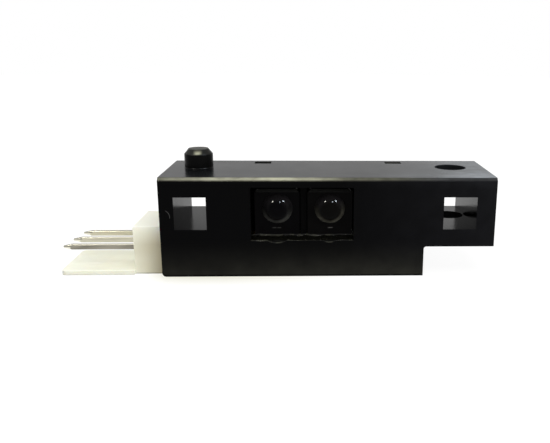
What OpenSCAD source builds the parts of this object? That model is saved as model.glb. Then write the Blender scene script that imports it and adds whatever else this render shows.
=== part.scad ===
// Reflective paper sensor. A moulded housing carries a small circuit board, and two side-looking optical
// packages look out of the lens window in its front. A three-pin friction-lock header leaves its left end.
// Lengths are in millimetres. X runs along the housing, the optical face looks to -Y and +Z is up.
// The modules draw from the housing's lower left front corner. place() moves that corner to its place.

/* [Housing] */
// length of the moulded housing
body_length = 32.6; // [26:0.1:60]
// depth of the housing from the optical face to the back
body_depth = 10; // [8:0.1:20]
// height of the housing without its post
body_height = 9.85; // [8:0.05:20]
// thickness of the wall behind the optical face
front_wall = 1; // [0.6:0.05:2]
// thickness of the top wall
top_wall = 0.9; // [0.6:0.05:1.5]
// thickness of the bottom wall
bottom_wall = 0.8; // [0.6:0.05:1.5]
// where the raised end of the underside begins
step_x = 25.65; // [20:0.1:30]
// how far the raised end stands off the surface under the part
step_height = 3; // [1:0.1:5]
// bevel along the upper front edge
edge_bevel = 0.3; // [0.1:0.05:0.6]

/* [Windows] */
// underside of the two square tunnels
tunnel_z = 4.75; // [4:0.05:6]
// height of the two square tunnels
tunnel_height = 3.2; // [2:0.05:4]
// left side of the left tunnel
tunnel_left_x = 1.4; // [0.8:0.05:2]
// width of the left tunnel
tunnel_left_width = 3.1; // [2:0.05:4]
// width of the right tunnel, which the screw crosses
tunnel_right_width = 3.25; // [2:0.05:4]

/* [Fixing] */
// diameter of the screw hole
screw_hole_d = 3.2; // [2:0.1:4.5]
// where the screw hole stands along the housing
screw_hole_x = 29.1; // [26:0.05:31]
// bevel round the mouth of the screw hole
screw_hole_bevel = 0.05; // [0:0.05:0.3]
// distance of the hole and the post from the optical face
fixing_y = 6; // [3:0.05:7]
// diameter of the locating post
post_d = 2.9; // [1.5:0.1:4]
// diameter of the flat tip of the post
post_tip_d = 2; // [1:0.05:3]
// height of the locating post
post_height = 1.95; // [1:0.05:4]
// height at which the tip of the post begins
post_shoulder = 1.4; // [0.5:0.05:3]
// fillet at the foot of the post
post_fillet = 0.12; // [0:0.02:0.3]
// where the post stands along the housing
post_x = 3.05; // [2:0.05:5]

/* [Optics] */
// left side of the lens window
pocket_x = 8.7; // [7:0.05:12]
// width of the lens window
pocket_width = 10; // [8:0.05:14]
// underside of the lens window
pocket_z = 3.65; // [2.5:0.05:5]
// height of the lens window
pocket_height = 5.25; // [4:0.05:6]
// width of one optical package
pack_width = 4.4; // [3:0.05:5]
// height of one optical package
pack_height = 4.95; // [4:0.05:6]
// thickness of one optical package
pack_depth = 1.6; // [1:0.05:2.5]
// underside of the optical packages
pack_z = 3.6; // [3:0.05:5]
// middle of the emitter package along the housing
emitter_x = 11.25; // [9:0.05:13]
// middle of the detector package along the housing
detector_x = 16.4; // [14:0.05:19]
// height of the middle of the lenses
lens_z = 6.65; // [5:0.05:8]
// diameter of a lens where it leaves its package
lens_d = 3; // [2:0.05:4]
// how far a lens stands out of its package
lens_rise = 1; // [0.5:0.05:1.4]
// distance between neighbouring leads of the detector
lead_pitch = 1.27; // [1:0.01:2.54]
// width of a lead
lead_width = 0.45; // [0.3:0.05:0.6]

/* [Header] */
// distance between neighbouring pins
pin_pitch = 2.5; // [2:0.01:3]
// side of a square pin
pin_side = 0.5; // [0.4:0.02:0.7]
// height of the middle of the pins
pin_z = 2.6; // [2:0.05:4]
// how far the front pin, the longest, reaches out of the housing
pin_reach = 9.9; // [8:0.05:14]
// length of the tapered end of a pin
pin_taper = 0.85; // [0.3:0.05:1.5]
// how far the header's flange stands out of the housing
flange_length = 2.85; // [1.5:0.05:5]
// depth of the header
header_depth = 6.6; // [6:0.05:9]
// height of the header's flange
flange_height = 4.8; // [3:0.05:6]
// thickness of the lock plate under the pins
plate_thickness = 0.45; // [0.4:0.05:1.2]
// how far the lock plate stands forward of the header's front
plate_forward = 0.4; // [0:0.05:0.6]
// how far the lock plate reaches out of the housing
plate_reach = 10; // [6:0.05:12]

/* [Board] */
// thickness of the circuit board
board_thickness = 0.8; // [0.5:0.1:1.6]
// right end of the circuit board
board_end = 24.4; // [20:0.1:25]

/* [Hidden] */
eps = 0.01;
origin_x = -(body_length - plate_reach) / 2;
origin_y = -body_depth / 2;
tunnel_right_x = screw_hole_x - tunnel_right_width / 2;
cavity_x = 5.7;
cavity_end = 24.6;
cavity_top = body_height - top_wall;
header_y = front_wall;
header_mid = header_y + header_depth / 2;
pin_y = [header_mid - pin_pitch, header_mid, header_mid + pin_pitch];
pin_tip = [-pin_reach, -pin_reach + 0.15, -pin_reach + 0.4];
pin_tail = 8;
neck_y = header_y + 0.6;
neck_depth = header_depth - 1.2;
neck_z = 1;
neck_top = 3.8;
neck_end = 4;
channel_z = 0.9;
channel_top = 3.9;
board_top = pin_z - pin_side / 2;
board_bottom = board_top - board_thickness;
lead_y = front_wall + pack_depth / 2;
lead_depth = 0.4;
lead_end = 1;
emitter_leads = [emitter_x - lead_pitch, emitter_x + lead_pitch];
detector_leads = [detector_x - lead_pitch, detector_x, detector_x + lead_pitch];
barrier_width = 0.6;
barrier_x = (emitter_x + detector_x - barrier_width) / 2;
slot_y = 8.1;
slot_depth = 1.15;
slot_x = [8.55, 22.5];
slot_width = 1.75;
cover_y = 9;
cover_gap = 0.1;

module place() {
    translate([origin_x, origin_y, 0]) children();
}

// Extrudes a profile drawn as (along X, up) through a stretch of Y.
module along_y(y0, y1) {
    translate([0, y1, 0]) rotate([90, 0, 0]) linear_extrude(y1 - y0) children();
}

// Extrudes a profile drawn as (along Y, up) through a stretch of X.
module along_x(x0, x1) {
    translate([x0, 0, 0]) rotate([90, 0, 90]) linear_extrude(x1 - x0) children();
}

// What rounding takes away from a corner that points down and to the left.
module corner_cut(r) {
    difference() {
        translate([-1, -1]) square([1 + r, 1 + r]);
        translate([r, r]) circle(r, $fn = 32);
    }
}

// Outline of the housing seen from the front, with the step under its right end.
module housing_outline() {
    difference() {
        square([body_length, body_height]);
        translate([step_x, -1]) square([body_length, step_height + 1]);
        corner_cut(0.4);
    }
    // fillet in the corner of the step
    translate([step_x, step_height]) mirror([0, 1]) difference() {
        translate([-eps, -eps]) square(0.25 + eps);
        translate([0.25, 0.25]) circle(0.25, $fn = 32);
    }
}

module post() {
    rotate_extrude($fn = 48) difference() {
        polygon([[0, -0.2], [post_d / 2 + post_fillet, -0.2], [post_d / 2 + post_fillet, 0],
                 [post_d / 2 + post_fillet, post_fillet], [post_d / 2, post_fillet],
                 [post_d / 2, post_shoulder],
                 [post_tip_d / 2, post_height], [0, post_height]]);
        translate([post_d / 2 + post_fillet, post_fillet]) circle(post_fillet, $fn = 24);
    }
}

module screw_hole() {
    translate([0, 0, -1]) cylinder(h = body_height + 2, d = screw_hole_d, $fn = 64);
    translate([0, 0, body_height - screw_hole_bevel])
        cylinder(h = screw_hole_bevel + eps, r1 = screw_hole_d / 2,
                 r2 = screw_hole_d / 2 + screw_hole_bevel + eps,
                 $fn = 64);
}

module tunnel(x, width) {
    translate([x, -1, tunnel_z]) cube([width, body_depth + 2, tunnel_height]);
}

// Slot that a snap of the back cover springs into.
module snap_slot(x, z0, z1) {
    translate([x, slot_y, z0]) cube([slot_width, slot_depth, z1 - z0]);
}

module housing() {
    color([0.06, 0.06, 0.065]) place() {
        difference() {
            union() {
                along_y(0, body_depth) housing_outline();
                translate([post_x, fixing_y, body_height]) post();
            }
            // bevel along the upper front edge
            along_x(-1, body_length + 1)
                polygon([[-1, body_height - edge_bevel - 1], [-1, body_height + 1],
                         [edge_bevel + 1, body_height + 1]]);
            tunnel(tunnel_left_x, tunnel_left_width);
            tunnel(tunnel_right_x, tunnel_right_width);
            translate([screw_hole_x, fixing_y, 0]) screw_hole();
            // room for the board, open to the back
            translate([cavity_x, front_wall, bottom_wall])
                cube([cavity_end - cavity_x, body_depth, cavity_top - bottom_wall]);
            // channel for the neck of the header, open to the left and to the back
            translate([-1, neck_y - 0.1, channel_z]) cube([cavity_x + 2, body_depth, channel_top - channel_z]);
            // lens window
            translate([pocket_x, -1, pocket_z]) cube([pocket_width, front_wall + 2, pocket_height]);
            for (x = slot_x) {
                snap_slot(x, cavity_top - 1, body_height + 1);
                snap_slot(x, -1, bottom_wall + 1);
            }
        }
        // light barrier between the two packages
        translate([barrier_x, front_wall + 0.3, board_top + 0.1])
            cube([barrier_width, 2.1, cavity_top - board_top - 0.1 + eps]);
        translate([barrier_x, front_wall - eps, board_top + 0.1])
            cube([barrier_width, 0.5, pocket_z - board_top - 0.1]);
        // ledges under the ends of the board
        translate([cavity_x - eps, front_wall - eps, bottom_wall - eps])
            cube([0.9, 6.5, board_bottom - bottom_wall + eps]);
        translate([cavity_end - 0.9, front_wall - eps, bottom_wall - eps])
            cube([0.9 + eps, 6.5, board_bottom - bottom_wall + eps]);
    }
}

// Snap of the back cover, drawn as (along Y, up), for the top wall. It bears on the back of its slot.
module snap_profile() {
    back = slot_y + slot_depth;
    polygon([[slot_y + 0.05, cavity_top - 0.6], [back, cavity_top - 0.6], [back, cavity_top + 0.45],
             [back - 0.3, cavity_top + 0.45], [slot_y + 0.05, cavity_top - 0.15]]);
}

module back_cover() {
    top = cavity_top - cover_gap;
    color([0.09, 0.09, 0.095]) place() {
        // plate
        translate([cavity_x + cover_gap, cover_y, bottom_wall + cover_gap])
            cube([cavity_end - cavity_x - 2 * cover_gap, body_depth - cover_y, top - bottom_wall - cover_gap]);
        // tail that closes the header's channel
        translate([cover_gap, cover_y, channel_z + cover_gap])
            cube([cavity_x + cover_gap, body_depth - cover_y, channel_top - channel_z - 2 * cover_gap]);
        // rib that holds the back edge of the board
        translate([8.1, cover_y - 0.4, board_bottom]) cube([14, 0.4 + eps, board_thickness]);
        for (x = slot_x) {
            along_x(x + 0.2, x + slot_width - 0.2) snap_profile();
            translate([0, 0, bottom_wall + cavity_top]) mirror([0, 0, 1])
                along_x(x + 0.2, x + slot_width - 0.2) snap_profile();
        }
    }
}

// A square pin with a tapered end, lying along X.
module square_pin(x0, x1, taper) {
    half = pin_side / 2;
    tip = pin_side * 0.2;
    hull() {
        translate([x0 + taper, -half, -half]) cube([x1 - x0 - taper, pin_side, pin_side]);
        translate([x0, -tip, -tip]) cube([eps, 2 * tip, 2 * tip]);
    }
}

module header_pin(i) {
    color([0.80, 0.78, 0.72]) place()
        translate([0, pin_y[i], pin_z]) square_pin(pin_tip[i], pin_tail, pin_taper);
}

module pin_front() {
    header_pin(0);
}

module pin_middle() {
    header_pin(1);
}

module pin_rear() {
    header_pin(2);
}

// Plan of the lock plate, its two free corners rounded. It runs on under the flange as its foot.
module plate_plan() {
    r = 0.5;
    front = header_y - plate_forward;
    depth = header_depth + plate_forward;
    free = plate_reach - flange_length;
    translate([-plate_reach, front + r]) square([free, depth - 2 * r]);
    translate([-plate_reach + r, front]) square([free - r, depth]);
    translate([-plate_reach + r, header_y]) square([plate_reach - r - 0.1, header_depth]);
    for (y = [r, depth - r]) translate([-plate_reach + r, front + y]) circle(r, $fn = 36);
}

module header_block() {
    color([0.93, 0.91, 0.84]) place() difference() {
        union() {
            translate([-flange_length, header_y, 0]) cube([flange_length, header_depth, flange_height]);
            linear_extrude(plate_thickness) plate_plan();
            translate([-eps, neck_y, neck_z]) cube([neck_end + eps, neck_depth, neck_top - neck_z]);
        }
        for (y = pin_y)
            translate([-plate_reach, y - pin_side / 2, pin_z - pin_side / 2]) cube([20, pin_side, pin_side]);
    }
}

module circuit_board() {
    color([0.55, 0.42, 0.20]) place() difference() {
        translate([cavity_x + 0.2, front_wall + 0.1, board_bottom])
            cube([board_end - cavity_x - 0.2, 7.5, board_thickness]);
        for (x = concat(emitter_leads, detector_leads))
            translate([x, lead_y, board_bottom - 1]) cylinder(h = board_thickness + 2, d = 0.8, $fn = 24);
    }
}

module lead(x) {
    color([0.80, 0.80, 0.80]) place()
        translate([x - lead_width / 2, lead_y - lead_depth / 2, lead_end])
            cube([lead_width, lead_depth, pack_z + 0.8 - lead_end]);
}

module emitter_lead_a() {
    lead(emitter_leads[0]);
}

module emitter_lead_b() {
    lead(emitter_leads[1]);
}

module detector_lead_a() {
    lead(detector_leads[0]);
}

module detector_lead_b() {
    lead(detector_leads[1]);
}

module detector_lead_c() {
    lead(detector_leads[2]);
}

// Cap of a sphere that stands lens_rise out of the plane y = 0, looking to -Y.
module lens() {
    r = (lens_d * lens_d / 4 + lens_rise * lens_rise) / (2 * lens_rise);
    intersection() {
        translate([0, r - lens_rise, 0]) sphere(r, $fn = 64);
        translate([-r, -2 * r, -r]) cube([2 * r, 2 * r + 0.1, 2 * r]);
    }
}

// A transparent package: bevelled block, lens in front, and room for its leads.
module optical_package(x, leads) {
    bevel = 0.25;
    difference() {
        union() {
            translate([x - pack_width / 2, front_wall, pack_z]) cube([pack_width, pack_depth, pack_height]);
            translate([x, front_wall, lens_z]) lens();
        }
        // bevel along the upper front edge and the two upper back corners
        along_x(x - pack_width, x + pack_width)
            polygon([[front_wall - 1, pack_z + pack_height - bevel - 1],
                     [front_wall - 1, pack_z + pack_height + 1],
                     [front_wall + bevel + 1, pack_z + pack_height + 1]]);
        for (s = [-1, 1]) translate([x + s * pack_width / 2, 0, pack_z + pack_height]) rotate([0, 45, 0])
            translate([-0.25, -1, -0.25]) cube([0.5, body_depth, 0.5]);
        for (l = leads) translate([l - lead_width / 2, lead_y - lead_depth / 2, pack_z - 1])
            cube([lead_width, lead_depth, 1.8]);
    }
}

module emitter_package() {
    color([0.10, 0.09, 0.11]) place() optical_package(emitter_x, emitter_leads);
}

module detector_package() {
    color([0.07, 0.06, 0.08]) place() optical_package(detector_x, detector_leads);
}

// Bead of clear glue that fills the sill of the lens window.
module glue_bead() {
    color([0.12, 0.12, 0.11]) place() along_x(pocket_x, pocket_x + pocket_width)
        polygon([[0.04, pocket_z], [0.04, pocket_z + 0.08], [0.3, pocket_z + 0.2], [0.7, pocket_z + 0.3],
                 [front_wall, pocket_z + 0.42], [front_wall, pocket_z]]);
}

module chip(x, y, height) {
    translate([x, y, board_top]) cube([1.6, 0.8, height]);
}

module chip_resistor() {
    color([0.15, 0.15, 0.16]) place() chip(9.3, 5.2, 0.45);
}

module chip_capacitor() {
    color([0.62, 0.50, 0.36]) place() chip(18.7, 5.2, 0.8);
}

// Solder over the tail of a pin on the board.
module pin_solder(i) {
    color([0.70, 0.71, 0.72]) place() difference() {
        hull() {
            translate([6.1, pin_y[i] - 0.65, board_top]) cube([1.8, 1.3, 0.1]);
            translate([6.4, pin_y[i] - 0.35, board_top]) cube([1.2, 0.7, 0.8]);
        }
        translate([0, pin_y[i] - pin_side / 2, board_top - 0.1]) cube([20, pin_side, pin_side + 0.1]);
    }
}

module solder_pin_front() {
    pin_solder(0);
}

module solder_pin_middle() {
    pin_solder(1);
}

module solder_pin_rear() {
    pin_solder(2);
}

// Solder round a lead under the board.
module lead_solder(x) {
    color([0.70, 0.71, 0.72]) place() difference() {
        translate([x, lead_y, board_bottom - 0.45]) cylinder(h = 0.45, r1 = 0.36, r2 = 0.58, $fn = 24);
        translate([x - lead_width / 2, lead_y - lead_depth / 2, 0]) cube([lead_width, lead_depth, 5]);
    }
}

module solder_emitter_a() {
    lead_solder(emitter_leads[0]);
}

module solder_emitter_b() {
    lead_solder(emitter_leads[1]);
}

module solder_detector_a() {
    lead_solder(detector_leads[0]);
}

module solder_detector_b() {
    lead_solder(detector_leads[1]);
}

module solder_detector_c() {
    lead_solder(detector_leads[2]);
}

housing();
back_cover();
header_block();
pin_front();
pin_middle();
pin_rear();
circuit_board();
emitter_package();
emitter_lead_a();
emitter_lead_b();
detector_package();
detector_lead_a();
detector_lead_b();
detector_lead_c();
glue_bead();
chip_resistor();
chip_capacitor();
solder_pin_front();
solder_pin_middle();
solder_pin_rear();
solder_emitter_a();
solder_emitter_b();
solder_detector_a();
solder_detector_b();
solder_detector_c();
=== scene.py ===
# %% [markdown]
# # A reflective paper sensor
# Printers and copiers use such a sensor to feel whether paper lies in front of it. The real thing is a
# black moulded housing 33 mm long. Two dark resin packages look out of a window in its front, and a
# three-pin header leaves its left end. All its shapes could be modelled here by eye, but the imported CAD
# model has them already, at their real size. So it comes first, as the fixed frame, and every piece below
# is made in metres, exactly where the CAD has it.

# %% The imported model
import math

import bpy
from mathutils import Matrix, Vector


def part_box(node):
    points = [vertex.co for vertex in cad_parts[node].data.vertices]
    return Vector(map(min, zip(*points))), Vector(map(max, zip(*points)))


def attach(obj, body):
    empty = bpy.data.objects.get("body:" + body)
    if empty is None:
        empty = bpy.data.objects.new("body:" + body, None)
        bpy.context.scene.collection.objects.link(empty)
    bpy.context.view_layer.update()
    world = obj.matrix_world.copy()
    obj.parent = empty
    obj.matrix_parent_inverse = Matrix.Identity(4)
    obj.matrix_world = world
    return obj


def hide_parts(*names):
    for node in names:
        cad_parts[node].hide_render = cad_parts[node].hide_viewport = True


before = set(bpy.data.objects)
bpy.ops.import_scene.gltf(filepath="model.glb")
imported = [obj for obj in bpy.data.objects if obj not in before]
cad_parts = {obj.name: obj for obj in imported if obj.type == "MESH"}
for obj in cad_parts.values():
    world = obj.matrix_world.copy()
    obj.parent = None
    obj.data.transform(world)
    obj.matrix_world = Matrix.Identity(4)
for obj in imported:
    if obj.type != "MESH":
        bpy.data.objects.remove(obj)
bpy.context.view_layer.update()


# %% [markdown]
# ## The camera
# A camera can be set by eye, but the long edges of the housing show every error. So this one was solved
# from the corners of the housing, the tunnels and the screw hole. It stands about 7 cm in front of the
# sensor and looks down at it by a little under 15 degrees. The photograph is a crop of a wider one, so the
# lens is shifted sideways, by as little as still keeps every corner within a pixel.

# %% Camera
lens_data = bpy.data.cameras.new("camera")
lens_data.lens = 44.394
lens_data.sensor_width = 36
lens_data.shift_x = -0.1182
lens_data.clip_start = 0.005
lens_data.clip_end = 10
camera = bpy.data.objects.new("camera", lens_data)
camera.location = (0.003321, -0.0686, 0.022218)
camera.rotation_euler = [math.radians(a) for a in (75.3442, -0.4902, -2.3455)]
bpy.context.scene.collection.objects.link(camera)
bpy.context.scene.camera = camera
print("camera stands", round(camera.location.length * 1000, 1), "mm from the middle of the sensor's underside")

# %% [markdown]
# ## Building materials from nodes
# A finish can be an image wrapped round a piece, or a small tree of nodes that works the colour out from
# the place on the piece. All finishes here are trees, because they need no unwrapping and are as sharp
# from near as from far. One helper adds a node and fills or links its inputs. Another starts a material
# and hands back the object's own coordinates in millimetres, so that every scale can be read as a size.

# %% Nodes
def node(tree, kind, inputs=None, **settings):
    """Adds a shader node, sets its settings, and fills or links its inputs."""
    made = tree.nodes.new("ShaderNode" + kind)
    for key, value in settings.items():
        setattr(made, key, value)
    for key, value in (inputs or {}).items():
        if isinstance(value, bpy.types.NodeSocket):
            tree.links.new(value, made.inputs[key])
        else:
            made.inputs[key].default_value = value
    return made


def start_finish(name, **constants):
    """A new node material, its shader with the given constants, and object coordinates in mm."""
    finish = bpy.data.materials.new(name)
    finish.use_nodes = True
    tree = finish.node_tree
    shader = tree.nodes["Principled BSDF"]
    for key, value in constants.items():
        shader.inputs[key.replace("_", " ")].default_value = value
    place = node(tree, "TexCoord").outputs["Object"]
    mm = node(tree, "VectorMath", {0: place, 1: (1000, 1000, 1000)}, operation="MULTIPLY").outputs[0]
    return finish, tree, shader, mm


print("node helpers ready")

# %% [markdown]
# ## Masks
# Dust and wear never cover a part evenly. A mask says where they lie: it is 1 where a mark shows and 0
# where it doesn't. It could be painted by hand, but one that comes from coordinates or soft noise, held
# between two limits, is moved by changing a number. Masks that must all agree are multiplied.

# %% Masks
def math_node(tree, operation, *values):
    """One arithmetic step on numbers or sockets."""
    return node(tree, "Math", dict(enumerate(values)), operation=operation).outputs[0]


def product(tree, *values):
    """All the values multiplied together."""
    result = values[0]
    for value in values[1:]:
        result = math_node(tree, "MULTIPLY", result, value)
    return result


def spread(tree, value, low, high, to_low=0.0, to_high=1.0, smooth=False):
    """Maps a value from one range to another and holds it there."""
    kind = "SMOOTHSTEP" if smooth else "LINEAR"
    return node(tree, "MapRange", {0: value, 1: low, 2: high, 3: to_low, 4: to_high},
                interpolation_type=kind, clamp=True).outputs[0]


def noise(tree, mm, scale, detail=2.0, stretch=None):
    """Soft noise from 0 to 1. Scale is in bumps for each millimetre."""
    if stretch:
        mm = node(tree, "VectorMath", {0: mm, 1: stretch}, operation="MULTIPLY").outputs[0]
    return node(tree, "TexNoise", {"Vector": mm, "Scale": scale, "Detail": detail}).outputs[0]


print("mask helpers ready")

# %% [markdown]
# ## Places on the housing
# Dust and wear lie at fixed places of the moulding. The sizes that several masks share get a name here,
# in millimetres as in the CAD model, so that each of them is written only once.

# %% Places in mm
FRONT = -5.0
TOP = 9.85
TUNNEL_FLOOR = 4.75
TUNNEL_CEILING = 7.95
SCREW_AXIS = (17.8, 1.0)
SCREW_RADIUS = 1.6
POST_SHOULDER = 11.25
POST_TIP = 11.8
print("front at", FRONT, "mm, top at", TOP, "mm, screw hole at", SCREW_AXIS)

# %% [markdown]
# ## Painted reflection and a bluish tint on the front
# The foot of the housing is paler, a painted reflection of the paper before it, but for its very edge,
# where painted contact shade lies. A thin paler bluish tint lies over the right end of the front, most of
# all below the upper edge. Both are paler colours, and the masks say how much of each lies where.

# %% Painted reflection and tint on the front
# Painted reflection of the paper along the foot, and a paler bluish tint over the right end of the front.
FOOT_REFLECTION = (0.0300, 0.0295, 0.0240)
BLUISH_TINT = (0.0129, 0.0131, 0.0155)


def foot_reflection_and_contact_shade(tree, x, z, patches):
    """Painted reflection, strong along the foot but for its very edge, which gets painted contact shade; weaker
    above.
    """
    low = spread(tree, z, 0.0, 3.9, 1.0, 0.0)
    # Painted contact shade: the reflection is weaker along the very edge of the foot.
    contact_shade_at_edge = spread(tree, z, 0.12, 0.26, 0.15, 1.0)
    return product(tree, low, low, contact_shade_at_edge, spread(tree, x, -9.0, 8.0, 0.68, 1.0), patches)


def bluish_tint_on_right(tree, x, y, z, patches):
    """A thin paler bluish tint over the right end of the front, most of all below the upper edge."""
    below_edge = spread(tree, z, 8.6, 9.5, 0.60, 1.0, smooth=True)
    on_front = spread(tree, y, FRONT + 0.05, FRONT + 0.15, 1.0, 0.0)
    return product(tree, spread(tree, x, 6.0, 21.0), below_edge, on_front, patches)


# Colours of the painted reflection on the foot and of the bluish tint.
print("dust on the front is", FOOT_REFLECTION, "and", BLUISH_TINT)

# %% [markdown]
# ## Dust and painted sheen on the top, dust in the screw hole
# The camera only grazes the top, so a very thin coat shows there already. Specks of dust lie all over it, and
# a painted bluish sheen grows towards the right end and the front edge. The wall of the screw hole is dusty
# too, above and below the tunnel. It is found by its distance from the screw's axis, so it needs no material of
# its own.

# %% Dust and painted sheen on the top, dust in the screw hole
# Dust, and a painted bluish sheen on the top towards the right and the front edge.
DUST_AND_SHEEN_HIGH = (0.235, 0.262, 0.290)


def band(tree, value, start, full, fading, end, smooth=False):
    """1 from full to fading, and down to 0 at start and at end."""
    return product(tree, spread(tree, value, start, full, smooth=smooth),
                   spread(tree, value, fading, end, 1.0, 0.0, smooth=smooth))


def dust_and_sheen_on_top(tree, mm, x, y, z, patches):
    """Only on the top: specks of dust all over it, and painted sheen growing towards the right and the front
    edge.
    """
    specks = spread(tree, noise(tree, mm, 5, 2), 0.35, 0.65, 0.022, 0.040)
    # Painted sheen: paler towards the right end.
    sheen = math_node(tree, "ADD", spread(tree, x, 8.5, 15.5, 0.0, 0.28), spread(tree, x, 15.5, 19.0, 0.0, 0.62))
    along = math_node(tree, "ADD", sheen, specks)
    to_front = spread(tree, y, FRONT + 0.2, -1.0, 1.0, 0.45)
    on_top = band(tree, z, TOP - 0.05, TOP - 0.01, TOP + 0.01, TOP + 0.03)
    return product(tree, on_top, along, to_front, patches)


def distance(tree, first, first_middle, second, second_middle):
    """Distance from an axis that stands at these two coordinates."""
    squares = []
    for value, middle in ((first, first_middle), (second, second_middle)):
        off = math_node(tree, "SUBTRACT", value, middle)
        squares.append(math_node(tree, "MULTIPLY", off, off))
    return math_node(tree, "SQRT", math_node(tree, "ADD", *squares))


def screw_hole_wall(tree, x, y):
    """1 on the wall of the screw hole."""
    off_axis = distance(tree, x, SCREW_AXIS[0], y, SCREW_AXIS[1])
    return spread(tree, off_axis, SCREW_RADIUS + 0.01, SCREW_RADIUS + 0.03, 1.0, 0.0)


def dust_off_tunnel(tree, z):
    """Thin dust below and above the height of the tunnel, for the wall of the screw hole."""
    below = spread(tree, z, TUNNEL_FLOOR - 0.15, TUNNEL_FLOOR - 0.05, 0.03, 0.0)
    above = spread(tree, z, TUNNEL_CEILING, TUNNEL_CEILING + 0.05, 0.0, 0.045)
    return math_node(tree, "ADD", below, above)


# Colour of the dust and of the painted sheen on the top.
print("dust on the top is", DUST_AND_SHEEN_HIGH)

# %% [markdown]
# ## Dust and painted sheen on the post, dust in the slots
# The flat tip of the post carries dust, and so does the far wall of each snap slot, which faces the camera.
# The slope round the tip has a painted sheen. Height and depth are enough to tell these places from the rest
# of the moulding.

# %% Dust and painted sheen on the post, dust in the slots
# Dust on the tip and in the slots, and painted sheen on the slope round the tip.
POST_DUST_AND_SHEEN = (0.066, 0.066, 0.059)


def dust_on_tip(tree, z, patches):
    """On the flat tip of the post."""
    return product(tree, spread(tree, z, POST_TIP - 0.06, POST_TIP - 0.01), patches)


def trace_on_post(tree, z):
    """A trace all over the post, which is all that stands above the top."""
    return spread(tree, z, TOP + 0.03, TOP + 0.1, 0.0, 0.03)


def sheen_on_slope(tree, x, z, patches):
    """Painted sheen on the slope round the post's tip, more at the left."""
    above_shoulder = spread(tree, z, POST_SHOULDER - 0.01, POST_SHOULDER + 0.07)
    return product(tree, above_shoulder, spread(tree, x, -9.2, -7.6, 0.50, 0.22), patches)


def dust_in_slots(tree, x, y, z):
    """On the far wall of each snap slot in the top, more in the right one."""
    return product(tree, band(tree, y, 4.15, 4.2, 4.3, 4.35), band(tree, z, 9.2, 9.4, TOP - 0.05, TOP - 0.02),
                   spread(tree, x, -4.0, 8.0, 0.09, 0.85))


# Colour of the dust and of the painted sheen on the post.
print("dust on the post is", POST_DUST_AND_SHEEN)

# %% [markdown]
# ## The painted highlight on the edge
# A bright line runs along the bevel of the upper front edge, from near its left end to the middle, and is
# palest above the left lens. It is a painted highlight: the bevel's colour is made pale there, and the long
# lamp overhead adds its reflection. The mask follows the slope of the bevel and so stays on it all along the
# edge.

# %% Painted highlight on the edge
def edge_highlight(tree, x, y, z, streaks):
    """Painted highlight on the bevel along the upper front edge, strongest in the middle of the bevel."""
    off_front = math_node(tree, "SUBTRACT", y, FRONT)
    off_bevel = math_node(tree, "SUBTRACT", off_front, math_node(tree, "SUBTRACT", z, TOP))
    on_bevel = spread(tree, off_bevel, 0.29, 0.37, 1.0, 0.0)
    across = math_node(tree, "MINIMUM", spread(tree, z, 9.56, 9.70, 0.15, 1.0),
                       spread(tree, z, 9.72, TOP, 1.0, 0.5))
    fading = product(tree, spread(tree, x, -11.0, -7.0, 0.4, 1.0),
                     spread(tree, x, 2.5, 7.0, 1.0, 0.38, smooth=True), spread(tree, x, 7.0, 18.0, 1.0, 0.35))
    return product(tree, on_bevel, across, fading, streaks)


# The painted highlight runs along the bevel.
print("rubbed edge runs along the bevel below", TOP, "mm")

# %% [markdown]
# ## The painted highlight on the tip, and the scratch
# The slope round the post's tip has a painted highlight at the front, and a small curved scratch lies
# beside the left tunnel. A scratch could be a thin groove in the mesh, but it is far too shallow to cast
# a shadow. So it is drawn as a ring round a point, thinned to a line and cut off at both ends.

# %% Tip highlight and scratch
SCRATCH_MIDDLE = (-11.00, 6.02)
SCRATCH_RADIUS = 0.72


def slope_highlight(tree, x, y, z, streaks):
    """Painted highlight on the slope round the post's tip, at the front, fading out to all sides."""
    up = product(tree, spread(tree, z, POST_SHOULDER + 0.03, POST_SHOULDER + 0.13),
                 spread(tree, z, POST_SHOULDER + 0.2, POST_TIP, 1.0, 0.0, smooth=True))
    aside = band(tree, x, -8.68, -8.20, -8.10, -7.64, smooth=True)
    return product(tree, up, aside, spread(tree, y, 0.1, 0.4, 1.0, 0.0), streaks)


def apart(tree, first, second):
    """How far two values are apart."""
    return math_node(tree, "ABSOLUTE", math_node(tree, "SUBTRACT", first, second))


def scratch_by_tunnel(tree, x, y, z):
    """A thin arc on the front, left of the left tunnel."""
    off_arc = apart(tree, distance(tree, x, SCRATCH_MIDDLE[0], z, SCRATCH_MIDDLE[1]), SCRATCH_RADIUS)
    return product(tree, spread(tree, off_arc, 0.015, 0.05, 1.0, 0.0), spread(tree, x, -10.70, -10.60),
                   spread(tree, z, 5.86, 5.96), spread(tree, y, FRONT + 0.1, FRONT + 0.2, 1.0, 0.0))


print("scratch round", SCRATCH_MIDDLE, "mm, radius", SCRATCH_RADIUS, "mm")

# %% [markdown]
# ## Colours in layers
# A finish is built up as paint is: a clean colour first, and then one colour after another over it, each
# where its mask lets it show. The mix nodes could be chained by hand, but a list of masks and colours
# reads from top to bottom, in the order in which the marks lie on the part.

# %% Layers
def blend_colours(tree, share, first, second):
    """First colour where share is 0, second where it is 1."""
    mix = node(tree, "Mix", data_type="RGBA")
    for index, value in ((0, share), (6, first), (7, second)):
        if isinstance(value, bpy.types.NodeSocket):
            tree.links.new(value, mix.inputs[index])
        else:
            mix.inputs[index].default_value = value if index == 0 else (*value, 1)
    return mix.outputs[2]


def layered(tree, body, *layers):
    """Lays colours over a body colour in turn, each given with its mask."""
    for mask, colour in layers:
        body = blend_colours(tree, mask, body, colour)
    return body


print("a layer is a mask and a colour")

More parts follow.
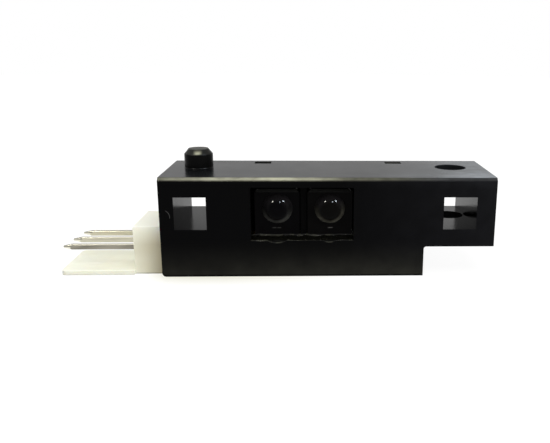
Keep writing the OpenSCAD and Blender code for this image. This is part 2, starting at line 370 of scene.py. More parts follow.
# %% Layers of dust, wear and painted light
# Painted highlight along the bevel of the upper edge, and on the slope of the post's tip.
EDGE_HIGHLIGHT_LEFT = (0.49, 0.49, 0.365)
EDGE_HIGHLIGHT_RIGHT = (0.42, 0.43, 0.44)
EDGE_HIGHLIGHT_PALEST = (0.65, 0.65, 0.475)
SLOPE_HIGHLIGHT = (0.45, 0.45, 0.33)
SCRATCHED = (0.046, 0.047, 0.046)


def dust_and_painted_light(tree, clean, mm, x, y, z):
    """Lays the dust, the painted sheen, reflection and contact shade, and the bluish tint over a clean colour.
    """
    patches = spread(tree, noise(tree, mm, 0.6, 3), 0.3, 0.7, 0.6, 1.0)
    in_hole = screw_hole_wall(tree, x, y)
    outside = math_node(tree, "SUBTRACT", 1.0, in_hole)
    return layered(
        tree, clean,
        (bluish_tint_on_right(tree, x, y, z, patches), BLUISH_TINT),
        (product(tree, foot_reflection_and_contact_shade(tree, x, z, patches), outside), FOOT_REFLECTION),
        (product(tree, dust_and_sheen_on_top(tree, mm, x, y, z, patches), outside), DUST_AND_SHEEN_HIGH),
        (dust_on_tip(tree, z, patches), POST_DUST_AND_SHEEN),
        (trace_on_post(tree, z), POST_DUST_AND_SHEEN),
        (sheen_on_slope(tree, x, z, patches), POST_DUST_AND_SHEEN),
        (product(tree, in_hole, dust_off_tunnel(tree, z)), DUST_AND_SHEEN_HIGH),
        (dust_in_slots(tree, x, y, z), POST_DUST_AND_SHEEN))


def highlights_and_scratch(tree, body, mm, x, y, z, scratch):
    """Lays the painted highlights on the edge and the post's tip, and the scratch, over a colour."""
    streaks = spread(tree, noise(tree, mm, 1.5, 3, (0.5, 1, 1)), 0.3, 0.7, 0.55, 1.0)
    edge_highlight_colour = blend_colours(tree, spread(tree, x, 11.0, 16.0), EDGE_HIGHLIGHT_LEFT, EDGE_HIGHLIGHT_RIGHT)
    edge_highlight_colour = blend_colours(tree, band(tree, x, -3.2, -0.2, 0.3, 1.8), edge_highlight_colour, EDGE_HIGHLIGHT_PALEST)
    return layered(tree, body, (edge_highlight(tree, x, y, z, streaks), edge_highlight_colour),
                   (slope_highlight(tree, x, y, z, streaks), SLOPE_HIGHLIGHT), (scratch, SCRATCHED))


# The palest colour of the painted edge highlight.
print("palest rubbed colour", EDGE_HIGHLIGHT_PALEST)

# %% [markdown]
# ## Black moulded plastic
# The housing is a smooth black thermoplastic, so almost all that is seen of it is reflection: hardly any
# seen straight on, and a lot on the top, which the camera only grazes. The index of refraction that a
# table gives for plastic makes the front too bright, so a lower one is taken, which gives just that. Fine
# grain from the mould breaks the reflection up, and the top, the post's tip and the scratch are duller.

# %% Linking and relief
def split(tree, place):
    """The X, Y and Z of a place."""
    return node(tree, "SeparateXYZ", {0: place}).outputs


def feed(tree, shader, **sockets):
    """Links sockets to the shader's inputs, named with _ for a space."""
    for key, socket in sockets.items():
        tree.links.new(socket, shader.inputs[key.replace("_", " ")])


def relief(tree, shader, height, depth_mm):
    """Raises the surface a little by a height from 0 to 1."""
    bump = node(tree, "Bump", {"Height": height, "Distance": depth_mm / 1000})
    feed(tree, shader, Normal=bump.outputs["Normal"])


print("finishes can be linked to their shader")

# %% Black plastic
CLEAN_BLACK = (0.0006, 0.0006, 0.0008)
ROUGH_BLACK = (0.0030, 0.0029, 0.0030)


def black_plastic(name, dull=0.0, index=1.11, clean=CLEAN_BLACK):
    """The housing's plastic. Dull is added to its roughness, and index says how well it mirrors."""
    finish, tree, shader, mm = start_finish(name, IOR=index)
    x, y, z = split(tree, mm)
    scratch = scratch_by_tunnel(tree, x, y, z)
    body = highlights_and_scratch(tree, dust_and_painted_light(tree, clean, mm, x, y, z), mm, x, y, z, scratch)
    rough = spread(tree, noise(tree, mm, 0.35, 4), 0.3, 0.7, 0.17 + dull, 0.21 + dull)
    rough = math_node(tree, "ADD", rough, spread(tree, z, TOP - 0.05, TOP - 0.01, 0.0, 0.05))
    rough = math_node(tree, "ADD", rough, spread(tree, z, POST_TIP - 0.08, POST_TIP - 0.02, 0.0, 0.25))
    rough = math_node(tree, "MAXIMUM", rough, product(tree, scratch, 0.6))
    feed(tree, shader, Base_Color=body, Roughness=rough)
    relief(tree, shader, noise(tree, mm, 9, 3), 0.004)
    return finish


housing_black = black_plastic("housing_black")
window_black = black_plastic("window_black", dull=0.2, index=1.05, clean=ROUGH_BLACK)
left_tunnel_black = black_plastic("left_tunnel_black", index=1.10)
right_tunnel_black = black_plastic("right_tunnel_black", index=1.15)
cover_black = black_plastic("cover_black", dull=0.08)
print("made", housing_black.name, window_black.name, cover_black.name, "and two more for the tunnels")

# %% [markdown]
# ## Dark resin
# The emitter and the detector are cast in epoxy that passes infrared light and looks almost black. Their
# flat faces are as the mould left them, and below each dome lie faint glints, light that the dome has
# gathered. Clear resin could be traced ray by ray, but that is slow and noisy, and nearly all of it would
# end in black. So the glints are part of the resin's colour, placed by the axis of the lens.

# %% Where the lenses are
LENS_ABOVE_FOOT = 3.05


def lens_axis(node_name):
    """Where the axis of a package's lens stands, along X and up, in mm."""
    low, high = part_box(node_name)
    return (low.x + high.x) * 500, low.z * 1000 + LENS_ABOVE_FOOT


emitter_axis = lens_axis("emitter_package")
detector_axis = lens_axis("detector_package")
print("lens axes at", [round(c, 2) for c in emitter_axis + detector_axis], "mm")

# %% Resin of the blocks
GLINTS_BELOW_AXIS = 1.95
# Painted highlight along the block's upper edge.
UPPER_EDGE_HIGHLIGHT = (0.020, 0.020, 0.019)


def dark_resin(name, tint, axis, glints, glint_colour):
    """Resin with faint glints below the dome, each given by its middle along X and half its length in mm."""
    finish, tree, shader, mm = start_finish(name, IOR=1.09)
    x, _, z = split(tree, mm)
    cloud = spread(tree, noise(tree, mm, 0.9, 3), 0.35, 0.7)
    body = blend_colours(tree, cloud, tint, [c * 2.2 for c in tint])
    # Painted highlight: the block's upper edge is paler, where its bevel catches light.
    body = blend_colours(tree, spread(tree, z, 8.25, 8.32), body, UPPER_EDGE_HIGHLIGHT)
    in_line = spread(tree, apart(tree, z, axis[1] - GLINTS_BELOW_AXIS), 0.02, 0.07, 1.0, 0.0)
    for middle, half in glints:
        aside = spread(tree, apart(tree, x, middle), half * 0.4, half, 1.0, 0.0)
        body = blend_colours(tree, product(tree, aside, in_line), body, glint_colour)
    feed(tree, shader, Base_Color=body, Roughness=spread(tree, noise(tree, mm, 2.5, 2), 0.3, 0.7, 0.06, 0.12))
    relief(tree, shader, noise(tree, mm, 1.6, 2), 0.002)
    return finish


lens_resin = dark_resin("lens_resin", (0.0006, 0.0005, 0.0007), emitter_axis,
                        [(-0.34, 0.26), (0.13, 0.24)], (0.032, 0.032, 0.030))
lens_resin_dark = dark_resin("lens_resin_dark", (0.0008, 0.0007, 0.0007), detector_axis,
                             [(5.15, 0.30)], (0.078, 0.077, 0.073))
print("made", lens_resin.name, "and", lens_resin_dark.name)

# %% [markdown]
# ## Polished lenses
# The domes come polished from the mould. Each mirrors the lamps as small bright points, and light that has
# gone through the dome gathers in a pale crescent low inside it. The points could be painted too, but then
# they would stay in place when the camera moves, so real lamps make them. The crescent moves little, and
# is a ring of paler colour round the lens's axis that fades towards its upper side.

# %% Polished resin of the lenses
# Painted reflection on the dome's upper rim.
UPPER_RIM_REFLECTION = (0.0085, 0.0078, 0.0085)


def polished_lens(name, axis, tint, glow, sides, tilt, wide):
    """Polished resin with a painted crescent of light low in the dome and a painted reflection on its upper
    rim.

    The crescent reaches up to sides mm above the axis, is turned to the right by tilt, and lies wide mm
    further out."""
    finish, tree, shader, mm = start_finish(name, IOR=1.10, Roughness=0.03)
    x, _, z = split(tree, mm)
    off_axis = distance(tree, x, axis[0], z, axis[1])
    ring = product(tree, spread(tree, off_axis, 0.90 + wide, 1.28 + wide, smooth=True),
                   spread(tree, off_axis, 1.45 + wide, 1.54 + wide, 1.0, 0.3, smooth=True))
    tilted = math_node(tree, "SUBTRACT", z, math_node(tree, "MULTIPLY", x, tilt))
    axis_tilted = axis[1] - tilt * axis[0]
    low = spread(tree, tilted, axis_tilted + sides, axis_tilted - 1.2, smooth=True)
    cloud = spread(tree, noise(tree, mm, 1.1, 3), 0.3, 0.7, 0.55, 1.0)
    # Painted reflection: the dome's upper rim is paler, where it mirrors the light from above.
    rim_reflection = product(tree, spread(tree, off_axis, 0.7, 1.2), spread(tree, z, axis[1] - 0.2, axis[1] + 0.6))
    body = layered(tree, tint, (rim_reflection, UPPER_RIM_REFLECTION), (product(tree, ring, low, cloud), glow))
    feed(tree, shader, Base_Color=body)
    relief(tree, shader, noise(tree, mm, 1.4, 2), 0.001)
    return finish


emitter_lens = polished_lens("emitter_lens", emitter_axis, (0.0006, 0.0005, 0.0009), (0.052, 0.052, 0.048),
                             sides=0.45, tilt=0.0, wide=0.0)
detector_lens = polished_lens("detector_lens", detector_axis, (0.0020, 0.0018, 0.0014), (0.074, 0.071, 0.058),
                              sides=0.8, tilt=0.15, wide=0.02)
print("made", emitter_lens.name, "and", detector_lens.name)

# %% [markdown]
# ## Glue
# A bead of clear glue holds the packages on the sill of their window. Over black plastic clear glue looks
# black too, so it needs no see-through shader. Only its wet gloss shows, broken by tiny bubbles, and by pale
# stretches along its two edges, painted highlights on the lines of light there.

# %% Glue
CLEAR_GLUE = (0.0030, 0.0030, 0.0022)
BUBBLE = (0.05, 0.05, 0.035)
# Pale stretches along the glue's edges are painted highlights.
EDGE_GLUE_HIGHLIGHT = (0.021, 0.021, 0.015)


def clear_glue():
    """Wet glue with bubbles, and painted highlights along its two edges."""
    finish, tree, shader, mm = start_finish("glue_clear", IOR=1.24)
    y = split(tree, mm)[1]
    cells = node(tree, "TexVoronoi", {"Vector": mm, "Scale": 3.2}).outputs["Distance"]
    edges = math_node(tree, "MAXIMUM", spread(tree, y, -4.95, -4.84, 1.0, 0.0), spread(tree, y, -4.16, -4.08))
    stretches = spread(tree, noise(tree, mm, 1.3, 3, (1, 0.3, 0.3)), 0.46, 0.58)
    body = layered(tree, CLEAR_GLUE, (spread(tree, cells, 0.05, 0.12, 1.0, 0.0), BUBBLE),
                   (product(tree, edges, stretches), EDGE_GLUE_HIGHLIGHT))
    feed(tree, shader, Base_Color=body, Roughness=spread(tree, noise(tree, mm, 3, 2), 0.3, 0.7, 0.06, 0.16))
    relief(tree, shader, noise(tree, mm, 2.5, 2), 0.006)
    return finish


glue_clear = clear_glue()
print("made", glue_clear.name)

# %% [markdown]
# ## Natural nylon
# The header is moulded in undyed nylon: cream, waxy and a little see-through. A plain colour would look
# like paint, so light is let run on under the surface, by about half a millimetre. The mottling is broad
# and weak and the surface is finely matt. The front has painted shade, duller than the rest and brown
# towards the housing, whose shadow falls there; the top is painted whiter, as painted light; and a painted
# contact shadow darkens the line where the front stands on the bench.

# %% Nylon
CREAM = ((0.84, 0.83, 0.68), (0.90, 0.90, 0.78))
# Painted shade on the front, painted light on the top, and a painted contact shadow along the foot.
SHADED_FRONT = (0.79, 0.77, 0.62)
LIT_TOP = (0.98, 0.97, 0.84)
SHADE_NEAR_HOUSING = (0.56, 0.50, 0.34)
CONTACT_SHADOW = (0.16, 0.14, 0.09)


def natural_nylon():
    """Waxy cream nylon, with painted shade and a painted contact shadow on the front and painted light on the
    top.
    """
    finish, tree, shader, mm = start_finish(
        "header_nylon", IOR=1.46, Subsurface_Weight=0.25, Subsurface_Scale=0.0006,
        Subsurface_Radius=(1.0, 0.8, 0.5))
    x, y, z = split(tree, mm)
    mottle = spread(tree, noise(tree, mm, 0.55, 4, (0.35, 1, 1)), 0.3, 0.7)
    on_front = spread(tree, y, -3.98, -3.92, 1.0, 0.0)
    below_top = spread(tree, z, 3.0, 4.72, 1.0, 0.0)
    # Painted shade on the front, browner towards the housing, and painted light on the top and upper edge.
    dull = product(tree, on_front, spread(tree, z, 1.2, 2.2), below_top)
    shade_near_housing = product(tree, spread(tree, x, -14.5, -11.35), on_front, below_top)
    along = math_node(tree, "ADD", spread(tree, x, -14.1, -14.0, 0.2, 0.4),
                      spread(tree, x, -14.0, -11.5, 0.0, 0.6))
    # Painted contact shadow along the front's bottom edge, where it stands on the bench.
    contact_shadow = product(tree, spread(tree, z, 0.05, 0.14, 1.0, 0.0), along)
    body = layered(tree, blend_colours(tree, mottle, *CREAM), (dull, SHADED_FRONT),
                   (math_node(tree, "SUBTRACT", 1.0, below_top), LIT_TOP), (shade_near_housing, SHADE_NEAR_HOUSING), (contact_shadow, CONTACT_SHADOW))
    feed(tree, shader, Base_Color=body, Roughness=spread(tree, noise(tree, mm, 1.4, 3), 0.3, 0.7, 0.38, 0.52))
    relief(tree, shader, noise(tree, mm, 7, 3), 0.006)
    return finish


header_nylon = natural_nylon()
print("made", header_nylon.name)

# %% [markdown]
# ## Tin and solder
# The pins are brass under bright tin, drawn along their length. Noise that is stretched in X gives such
# drawing marks without an image. The lower half of each coined tip has a painted highlight and its upper
# slope painted shade, and the top face of each pin has a tin of its own, painted shade that dims its
# reflection. The front pin is painted darker on its side, for the darker reflection there. The leads of
# the packages have the same tin with marks along them, and the solder has none.

# %% Metals
# Painted highlight on the tip, painted shade on its upper slope and on the pin's top.
TIP_HIGHLIGHT_TIN = (0.76, 0.74, 0.63)
SHADED_TIN = (0.25, 0.24, 0.20)
TOP_SHADE_TIN = (0.41, 0.39, 0.32)


def drawn_tin(name, light, dark, stretch, tip_x=None, top=TOP_SHADE_TIN):
    """Tin with drawing marks. A pin also gets painted shade on top and painted light and shade on its tip, from
    tip_x mm.
    """
    finish, tree, shader, mm = start_finish(name, Metallic=1.0)
    streak = spread(tree, noise(tree, mm, 4, 3, stretch), 0.3, 0.7)
    body = blend_colours(tree, streak, dark, light)
    if tip_x is not None:
        x, _, z = split(tree, mm)
        tip = product(tree, spread(tree, x, tip_x + 0.65, tip_x + 0.75, 1.0, 0.0),
                      spread(tree, z, 2.54, 2.62, 1.0, 0.0))
        slope = product(tree, spread(tree, x, tip_x + 0.85, tip_x + 1.0, 1.0, 0.0), spread(tree, z, 2.62, 2.66))
        body = layered(tree, body, (spread(tree, z, 2.80, 2.84), top), (slope, SHADED_TIN), (tip, TIP_HIGHLIGHT_TIN))
    feed(tree, shader, Base_Color=body, Roughness=spread(tree, streak, 0, 1, 0.42, 0.28))
    relief(tree, shader, noise(tree, mm, 8, 2, stretch), 0.006)
    return finish


def pin_finish(place, light, dark, top=TOP_SHADE_TIN):
    """Tin for one pin, its painted tip highlight where the CAD pin ends."""
    return drawn_tin("pin_tin_" + place, light, dark, (0.08, 1, 1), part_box("pin_" + place)[0].x * 1000, top)


# The front pin is painted darker, for the darker reflection on its side; the rear pin's top is painted darker
# still.
pin_tins = {"front": pin_finish("front", (0.35, 0.33, 0.27), (0.14, 0.13, 0.105)),
            "middle": pin_finish("middle", (0.62, 0.59, 0.47), (0.43, 0.41, 0.33)),
            "rear": pin_finish("rear", (0.62, 0.59, 0.46), (0.45, 0.42, 0.32), (0.28, 0.265, 0.21))}
lead_tin = drawn_tin("lead_tin", (0.62, 0.62, 0.60), (0.42, 0.42, 0.41), (1, 1, 0.1))
solder = drawn_tin("solder", (0.60, 0.61, 0.62), (0.40, 0.41, 0.42), (1, 1, 1))
print("made", [finish.name for finish in pin_tins.values()], lead_tin.name, solder.name)

# %% [markdown]
# ## The board and its chips
# They are closed in and only a sliver could ever be seen through the window, but the model can be opened.
# The board is tan paper laminate with a faint weave. The resistor is black ceramic and the capacitor brown,
# and both have tinned ends. Those could be pieces of their own, but the finish can paint them by distance
# from the chip's middle.

# %% Board and chips
LAMINATE = ((0.30, 0.19, 0.07), (0.46, 0.32, 0.13))
CHIP_END = (0.55, 0.55, 0.54)


def laminate():
    """Tan paper laminate."""
    finish, tree, shader, mm = start_finish("board_resin", IOR=1.5)
    weave = node(tree, "TexWave", {"Vector": mm, "Scale": 2.2, "Distortion": 2.0, "Detail": 2.0}).outputs[0]
    fleck = noise(tree, mm, 5, 3)
    body = blend_colours(tree, product(tree, weave, fleck), *LAMINATE)
    feed(tree, shader, Base_Color=body, Roughness=spread(tree, fleck, 0.3, 0.7, 0.4, 0.6))
    relief(tree, shader, weave, 0.004)
    return finish


def chip_ceramic(name, colour, middle_x):
    """Ceramic with tinned ends, for a chip whose middle stands at middle_x in mm."""
    finish, tree, shader, mm = start_finish(name, IOR=1.5)
    end = spread(tree, apart(tree, split(tree, mm)[0], middle_x), 0.50, 0.54)
    grain = noise(tree, mm, 9, 3)
    body = blend_colours(tree, grain, [c * 0.7 for c in colour], [c * 1.3 for c in colour])
    body = blend_colours(tree, end, body, CHIP_END)
    feed(tree, shader, Base_Color=body, Metallic=end, Roughness=spread(tree, grain, 0.3, 0.7, 0.35, 0.55))
    relief(tree, shader, grain, 0.004)
    return finish


board_resin = laminate()
chip_black = chip_ceramic("chip_black", (0.02, 0.02, 0.022), -1.2)
chip_brown = chip_ceramic("chip_brown", (0.30, 0.18, 0.09), 8.2)
print("made", board_resin.name, chip_black.name, chip_brown.name)

# %% [markdown]
# ## Dressing the hidden nodes
# Leads, solder, board and chips have the right shape in the CAD model already, and are too small or too
# well hidden for a rounder copy to show. So they only get their finish, put into the material slots that
# they came with.

# %% Finishes on CAD nodes
def dress(names, finish):
    """Puts a finish into every material slot of these CAD nodes."""
    for name in names:
        for material_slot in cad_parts[name].material_slots:
            material_slot.material = finish
    print(finish.name, "is on", len(names), "nodes")


dress(["circuit_board"], board_resin)
dress(["chip_resistor"], chip_black)
dress(["chip_capacitor"], chip_brown)
dress([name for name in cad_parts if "_lead_" in name], lead_tin)
dress([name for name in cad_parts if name.startswith("solder_")], solder)

# %% [markdown]
# ## Moulded pieces from their CAD solids
# A real moulding has no sharp edge anywhere, and a thin bright line along each edge is what gives it away.
# A shader can fake that line, but the outline stays sharp, so the edges are rounded in the mesh. The CAD
# mesh is loose triangles, so a copy of it is merged first and its flat faces are joined up. Then a small
# bevel rounds the edges, and the faces are smoothed except across what is still a corner.

# %% Merging a copy of a node
def only(piece):
    """Selects one object and makes it the active one."""
    bpy.ops.object.select_all(action="DESELECT")
    piece.select_set(True)
    bpy.context.view_layer.objects.active = piece


def merged_copy(node_name, name):
    """A copy of a CAD node with its triangles merged and its flat faces joined up."""
    piece = bpy.data.objects.new(name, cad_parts[node_name].data.copy())
    bpy.context.scene.collection.objects.link(piece)
    only(piece)
    bpy.ops.object.mode_set(mode="EDIT")
    bpy.ops.mesh.select_all(action="SELECT")
    bpy.ops.mesh.remove_doubles(threshold=1e-6)
    bpy.ops.mesh.dissolve_limited(angle_limit=math.radians(0.5))
    bpy.ops.object.mode_set(mode="OBJECT")
    return piece


print("merging keeps points more than 0.001 mm apart")

# %% Rounding and finishing it
SHARP_CORNER = math.radians(25)
SMOOTH_UP_TO = math.radians(35)


def moulded_copy(node_name, name, finish, edge_mm, segments=2):
    """A rounded, smooth copy of a CAD node, which then stands for it."""
    piece = merged_copy(node_name, name)
    rounding = piece.modifiers.new("rounding", "BEVEL")
    rounding.width = edge_mm / 1000
    rounding.segments = segments
    rounding.limit_method = "ANGLE"
    rounding.angle_limit = SHARP_CORNER
    bpy.ops.object.modifier_apply(modifier=rounding.name)
    bpy.ops.object.shade_smooth_by_angle(angle=SMOOTH_UP_TO)
    flats = piece.modifiers.new("flats", "WEIGHTED_NORMAL")
    flats.weight = 100
    flats.keep_sharp = True
    bpy.ops.object.modifier_apply(modifier=flats.name)
    piece.data.materials.clear()
    piece.data.materials.append(finish)
    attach(piece, "root")
    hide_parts(node_name)
    print(name, "has", len(piece.data.polygons), "faces")
    return piece


housing = moulded_copy("housing", "housing_moulding", housing_black, 0.06)
moulded_copy("back_cover", "cover_moulding", cover_black, 0.06)
moulded_copy("header_block", "header_moulding", header_nylon, 0.05, 3)

# %% [markdown]
# ## Inside the window
# The mould's core is left rough where it makes the window and the barrier between the packages, so that
# no stray light is carried round to the detector. Those faces of the housing get the duller black, and so
# does the screw hole below the tunnel. The tunnels are smooth all through, and the core pin of the right one
# was polished more, so its floor and walls mirror the white behind it a little better. Masks could do this
# as well, but the faces are there to be chosen, which keeps each finish simple. The glue fills the sill of
# the window from side to side, so its box tells where the window is.

# %% Dull and polished faces
WINDOW_TOP = 8.9
LEFT_TUNNEL = (-9.95, -6.75)
RIGHT_TUNNEL = (16.1, 19.5)
bead_low, bead_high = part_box("glue_bead")


def other_finish(piece, finish, belongs):
    """Gives the faces whose middle, in mm, belongs to some region another finish."""
    piece.data.materials.append(finish)
    chosen = [face for face in piece.data.polygons if belongs(*(c * 1000 for c in face.center))]
    for face in chosen:
        face.material_index = len(piece.data.materials) - 1
    print(piece.name, "has", len(chosen), "faces in", finish.name)


def left_rough(x, y, z):
    """True for faces of the housing within the window, and in the screw hole below the tunnel."""
    in_window = (bead_low.x * 1000 - 0.1 < x < bead_high.x * 1000 + 0.1
                 and bead_low.z * 1000 - 0.1 < z < WINDOW_TOP + 0.1 and FRONT + 0.02 < y < -1.0)
    off_axis = math.hypot(x - SCREW_AXIS[0], y - SCREW_AXIS[1])
    return in_window or (off_axis < SCREW_RADIUS + 0.02 and 2.9 < z < TUNNEL_FLOOR - 0.05)


def in_tunnel(left, right):
    """Tells whether a place is on the floor, the walls or the ceiling of the tunnel between left and right."""
    return lambda x, y, z: (left < x < right and TUNNEL_FLOOR - 0.01 < z < TUNNEL_CEILING + 0.01
                            and FRONT + 0.01 < y < -FRONT - 0.01)


other_finish(housing, window_black, left_rough)
other_finish(housing, left_tunnel_black, in_tunnel(*LEFT_TUNNEL))
other_finish(housing, right_tunnel_black, in_tunnel(*RIGHT_TUNNEL))

# %% [markdown]
# ## The two optical packages
# Each is a small cast block with a dome for a lens. A new sphere could be set in for the dome, but the
# CAD's facets lie on the right curve already. They are smoothed, so that the lamps' points don't smear in
# them, and only the edges of the block are rounded. The faces of the dome, which stand proud of the block
# round the lens's axis, then get the polished finish.

# %% Packages
BLOCK_FACE = -4.01
DOME_RADIUS = 1.56


def on_dome(axis):
    """Tells whether a place in front of the block's face is on the dome round an axis."""
    return lambda x, y, z: y < BLOCK_FACE and math.hypot(x - axis[0], z - axis[1]) < DOME_RADIUS


emitter = moulded_copy("emitter_package", "emitter_casting", lens_resin, 0.05)
other_finish(emitter, emitter_lens, on_dome(emitter_axis))
detector = moulded_copy("detector_package", "detector_casting", lens_resin_dark, 0.05)
other_finish(detector, detector_lens, on_dome(detector_axis))

# %% [markdown]
# ## Header pins
# Square wire, drawn, cut and coined to a blunt point. The corners are slightly round from the drawing. The
# CAD wire has its coined point already, so a rounded copy is all that each of the three needs.

# %% Pins
for place, finish in pin_tins.items():
    moulded_copy("pin_" + place, "pin_" + place + "_wire", finish, 0.04)

# %% [markdown]
# ## The bead of glue
# Glue is laid by hand along the sill and never lies even: it climbs a little where it meets the packages,
# falls away to the front, and has a thin round lip there that hangs over the sill in places. It could be
# sculpted by hand, but then nothing in it could be measured or moved. So a block is added where the CAD
# has the bead and cut across in all three directions, and its points are then moved to such a profile.

# %% Block for the bead
from mathutils import Matrix, Vector, noise as soft_noise


def cut_across(piece, axis, cuts):
    """Divides all edges that run along one axis, as a loop cut does."""
    only(piece)
    bpy.ops.object.mode_set(mode="EDIT")
    bpy.ops.mesh.select_mode(type="EDGE")
    bpy.ops.mesh.select_all(action="DESELECT")
    bpy.ops.object.mode_set(mode="OBJECT")
    points = piece.data.vertices
    for edge in piece.data.edges:
        run = points[edge.vertices[1]].co - points[edge.vertices[0]].co
        edge.select = abs(run[axis]) > 0.9 * run.length
    bpy.ops.object.mode_set(mode="EDIT")
    bpy.ops.mesh.subdivide(number_cuts=cuts)
    bpy.ops.object.mode_set(mode="OBJECT")


bead_size = bead_high - bead_low
bpy.ops.object.select_all(action="DESELECT")
bpy.ops.mesh.primitive_cube_add(size=1, location=(bead_low + bead_high) / 2, scale=bead_size)
bead = bpy.context.object
bead.name = "glue_bead_poured"
bpy.ops.object.transform_apply(location=True, rotation=True, scale=True)
for axis, cuts in enumerate((179, 24, 2)):
    cut_across(bead, axis, cuts)
print("bead is", [round(c * 1000, 2) for c in bead_size], "mm,", len(bead.data.vertices), "points")

# %% [markdown]
# ## The bead's profile
# Seen from its end, the bead is a round lip in front, a slope, and a hollow climb to the packages behind.
# Four sizes of that profile change along the length. Humps put the lip's drops where the photograph has
# them, and soft noise does the rest, so the bead keeps its place and form and still looks poured.

# %% How the bead changes along its length
def wander(x, step, seed):
    """Soft noise from -1 to 1 along the bead, x in mm."""
    return 2 * soft_noise.noise(Vector((x / step, seed, 0.5)))


def hump(x, middle, half):
    """1 at the middle of a stretch of the bead, 0 at its ends."""
    return max(0.0, 1 - ((x - middle) / half) ** 2)


def bead_shape(x):
    """How round the lip is, how far it hangs, how round the climb is and how high it goes, in mm."""
    left, middle, right = hump(x, -1.7, 0.7), hump(x, -0.06, 0.95), hump(x, 5.05, 0.6)
    hang = 0.26 * middle + 0.2 * right + 0.06 * left
    lip = 0.035 + 0.06 * min(1.0, 2 * left) + 0.05 * middle + 0.09 * hump(x, 1.04, 0.15)
    lip += 0.05 * right + 0.06 * min(1.0, 3 * hump(x, 6.65, 0.75)) + 0.012 * wander(x, 0.4, 1)
    climb = 0.19 + 0.06 * wander(x, 0.5, 2) - 0.06 * min(1.0, max(0.0, (x - 2.0) / 3))
    top = 0.40 + 0.03 * wander(x, 1.1, 3) + 0.014 * wander(x, 0.4, 4)
    return max(lip, 0.02), hang, max(climb, 0.03), top


print("lip, hang, climb and top at x = 0:", [round(value, 3) for value in bead_shape(0.0)], "mm")

# %% Profile of the bead
LIP_SHARE, LIP_TURN = 0.28, math.radians(74)
CLIMB_SHARE, CLIMB_TURN = 0.6, math.radians(84)


def pour(x, s, t):
    """Place in mm, from the bead's lower front edge, of the point at share s of the depth, t of the height."""
    deep = bead_size.y * 1000
    lip, hang, climb, top = bead_shape(x)
    if s <= LIP_SHARE:
        turn = s / LIP_SHARE * LIP_TURN
        y, z = lip * (1 - math.cos(turn)), lip * math.sin(turn)
    elif s >= CLIMB_SHARE:
        turn = (s - CLIMB_SHARE) / (1 - CLIMB_SHARE) * CLIMB_TURN
        y, z = deep - climb + climb * math.sin(turn), top - climb * math.cos(turn)
    else:
        start = lip * (1 - math.cos(LIP_TURN)), lip * math.sin(LIP_TURN)
        end = deep - climb, top - climb
        share = (s - LIP_SHARE) / (CLIMB_SHARE - LIP_SHARE)
        y = start[0] + (end[0] - start[0]) * share
        z = start[1] + (end[1] - start[1]) * share + 0.015 * math.sin(math.pi * share) * wander(x, 0.5, 7)
    forward = max(0.0, 1 - y / 0.35) ** 2
    return y - forward * (0.04 + 0.3 * min(hang, 0.2)), t * max(z, 0.004) - hang * forward


for vertex in bead.data.vertices:
    s = (vertex.co.y - bead_low.y) / bead_size.y
    t = (vertex.co.z - bead_low.z) / bead_size.z
    y, z = pour(vertex.co.x * 1000, min(max(s, 0), 1), min(max(t, 0), 1))
    vertex.co.y = bead_low.y + y / 1000
    vertex.co.z = bead_low.z + z / 1000
only(bead)
bpy.ops.object.shade_smooth_by_angle(angle=math.radians(50))
bead.data.materials.append(glue_clear)
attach(bead, "root")
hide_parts("glue_bead")
print("bead has", len(bead.data.polygons), "faces")

# %% [markdown]
# ## Floor
# The sensor stands on plain white paper. More light would make the paper white too, but it would wash out
# the object. So the paper is matt and takes the object's shadow, and part of it glows white for the camera,
# for glossy rays and for rays through glass. Close to the housing's left half, where the foot stands tight
# on the paper, the glow is weaker and warmer: a painted contact shadow. The ambient occlusion node tells how
# near something is.

# %% Paper
PAPER = ((0.62, 0.62, 0.61), (0.66, 0.66, 0.65))
# Tint of the painted contact shadow near the housing.
PAPER_SHADE_TINT = (1, 0.985, 0.86)


def seen_directly(tree):
    """1 for rays that show the background itself: from the camera, off gloss and through glass."""
    rays = node(tree, "LightPath").outputs
    either = math_node(tree, "MAXIMUM", rays["Is Camera Ray"], rays["Is Glossy Ray"])
    return math_node(tree, "MAXIMUM", either, rays["Is Transmission Ray"])


def white_paper():
    """Matt paper glowing where seen, with painted contact shadow by the housing's left half. Lengths are in
    metres.
    """
    finish = bpy.data.materials.new("paper")
    finish.use_nodes = True
    tree = finish.node_tree
    tree.nodes.clear()
    place = node(tree, "TexCoord").outputs["Object"]
    fibre = node(tree, "TexNoise", {"Vector": place, "Scale": 450.0, "Detail": 3.0}).outputs[0]
    matt = node(tree, "BsdfDiffuse", {"Color": blend_colours(tree, fibre, *PAPER)})
    below_left_half = band(tree, split(tree, place)[0], -0.0135, -0.0108, -0.005, 0.008)
    open_sky = node(tree, "AmbientOcclusion", {"Distance": 0.0035}, samples=16).outputs["AO"]
    # Painted contact shadow: the glow is weaker and warmer near the housing's left half.
    paper_contact_shade = product(tree, below_left_half, spread(tree, open_sky, 0.55, 0.97, 1.0, 0.0))
    strength = product(tree, 1.17, math_node(tree, "SUBTRACT", 1.0, product(tree, paper_contact_shade, 0.20)))
    tint = blend_colours(tree, paper_contact_shade, (1, 1, 1), PAPER_SHADE_TINT)
    glow = node(tree, "Emission", {"Color": tint, "Strength": strength})
    share = product(tree, seen_directly(tree), 0.80)
    both = node(tree, "MixShader", {0: share, 1: matt.outputs[0], 2: glow.outputs[0]})
    node(tree, "OutputMaterial", {"Surface": both.outputs[0]})
    return finish


paper = white_paper()
print("made", paper.name, "from", len(paper.node_tree.nodes), "nodes")

# %% Floor
bpy.ops.object.select_all(action="DESELECT")
bpy.ops.mesh.primitive_circle_add(vertices=96, radius=0.45, fill_type="NGON", location=(0, 0, -0.00002))
floor = bpy.context.object
floor.name = "floor"
floor.data.materials.append(paper)
print("floor is", round(floor.dimensions.x, 2), "m across")

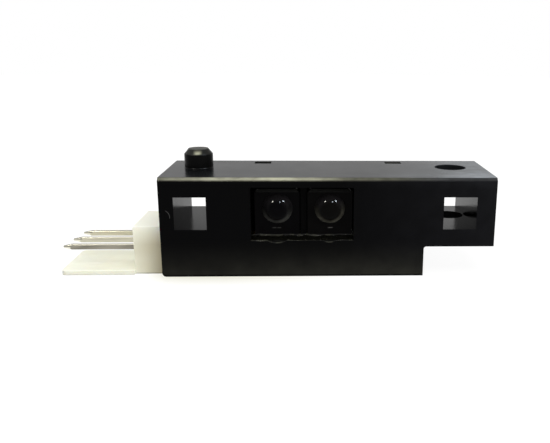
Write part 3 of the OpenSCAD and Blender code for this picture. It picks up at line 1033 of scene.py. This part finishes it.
# %% [markdown]
# ## World
# The world is white where it is seen, as the paper is, and gives a quiet even light otherwise. An image of
# a studio would light the sensor as well, but a plain world is enough, since the lamps give it shape.

# %% World
AMBIENT = 0.37
world = bpy.data.worlds.new("studio")
bpy.context.scene.world = world
world.use_nodes = True
tree = world.node_tree
sky = tree.nodes["Background"]
sky.inputs["Color"].default_value = (1, 1, 1, 1)
feed(tree, sky, Strength=spread(tree, seen_directly(tree), 0, 1, AMBIENT, 1.0))
bpy.context.scene.view_settings.view_transform = "Standard"
print("world gives", AMBIENT, "of white")

# %% [markdown]
# ## Lamps
# A long soft lamp overhead adds its reflection to the painted highlight along the housing's upper edge. Two
# broad ones, above and to the right, do most of the lighting, and their shadows are hardly seen. A warm lamp to
# the left and two cool ones to the right make the points of light in the lenses. One lamp can't do all of this
# at a time, so the narrow ones are seen only in reflections and the broad ones only light things up.

# %% Lamps
LAMP_DISTANCE = 2.0


def soft_lamp(name, towards, size, brightness, colour, only_reflected=False, only_lights=False):
    """An area lamp that looks at the sensor, long side along X. Towards is seen from the sensor, size in m."""
    data = bpy.data.lights.new(name, "AREA")
    data.shape = "RECTANGLE"
    data.size, data.size_y = size
    data.color = colour
    data.energy = brightness * size[0] * size[1] * math.pi
    lamp = bpy.data.objects.new(name, data)
    away = Vector(towards).normalized()
    lamp.location = away * LAMP_DISTANCE
    along = Vector((1, 0, 0)) - away * away.x
    along.normalize()
    up = away.cross(along)
    lamp.matrix_world = Matrix((
        (along.x, up.x, away.x, lamp.location.x), (along.y, up.y, away.y, lamp.location.y),
        (along.z, up.z, away.z, lamp.location.z), (0, 0, 0, 1)))
    lamp.visible_camera = False
    lamp.visible_diffuse = not only_reflected
    lamp.visible_glossy = not only_lights
    bpy.context.scene.collection.objects.link(lamp)


WARM = (1.0, 0.97, 0.86)
COOL = (0.80, 0.90, 1.0)
soft_lamp("edge_tube", (-0.10, -0.19, 0.97), (0.56, 0.06), 60, WARM, only_reflected=True)
soft_lamp("broad_above", (-0.1, -0.2, 0.97), (3.2, 2.8), 1.6, (1, 1, 0.98), only_lights=True)
soft_lamp("broad_right", (0.80, -0.50, 0.35), (1.0, 1.0), 5.0, (1, 1, 1), only_lights=True)
soft_lamp("glint_warm", (-0.485, -0.50, 0.70), (0.28, 0.28), 300, WARM, only_reflected=True)
soft_lamp("glint_cool_a", (0.32, -0.62, 0.70), (0.20, 0.20), 270, COOL, only_reflected=True)
soft_lamp("glint_cool_b", (0.645, -0.335, 0.685), (0.42, 0.34), 240, COOL, only_reflected=True)
print("lamps stand", LAMP_DISTANCE, "m away")
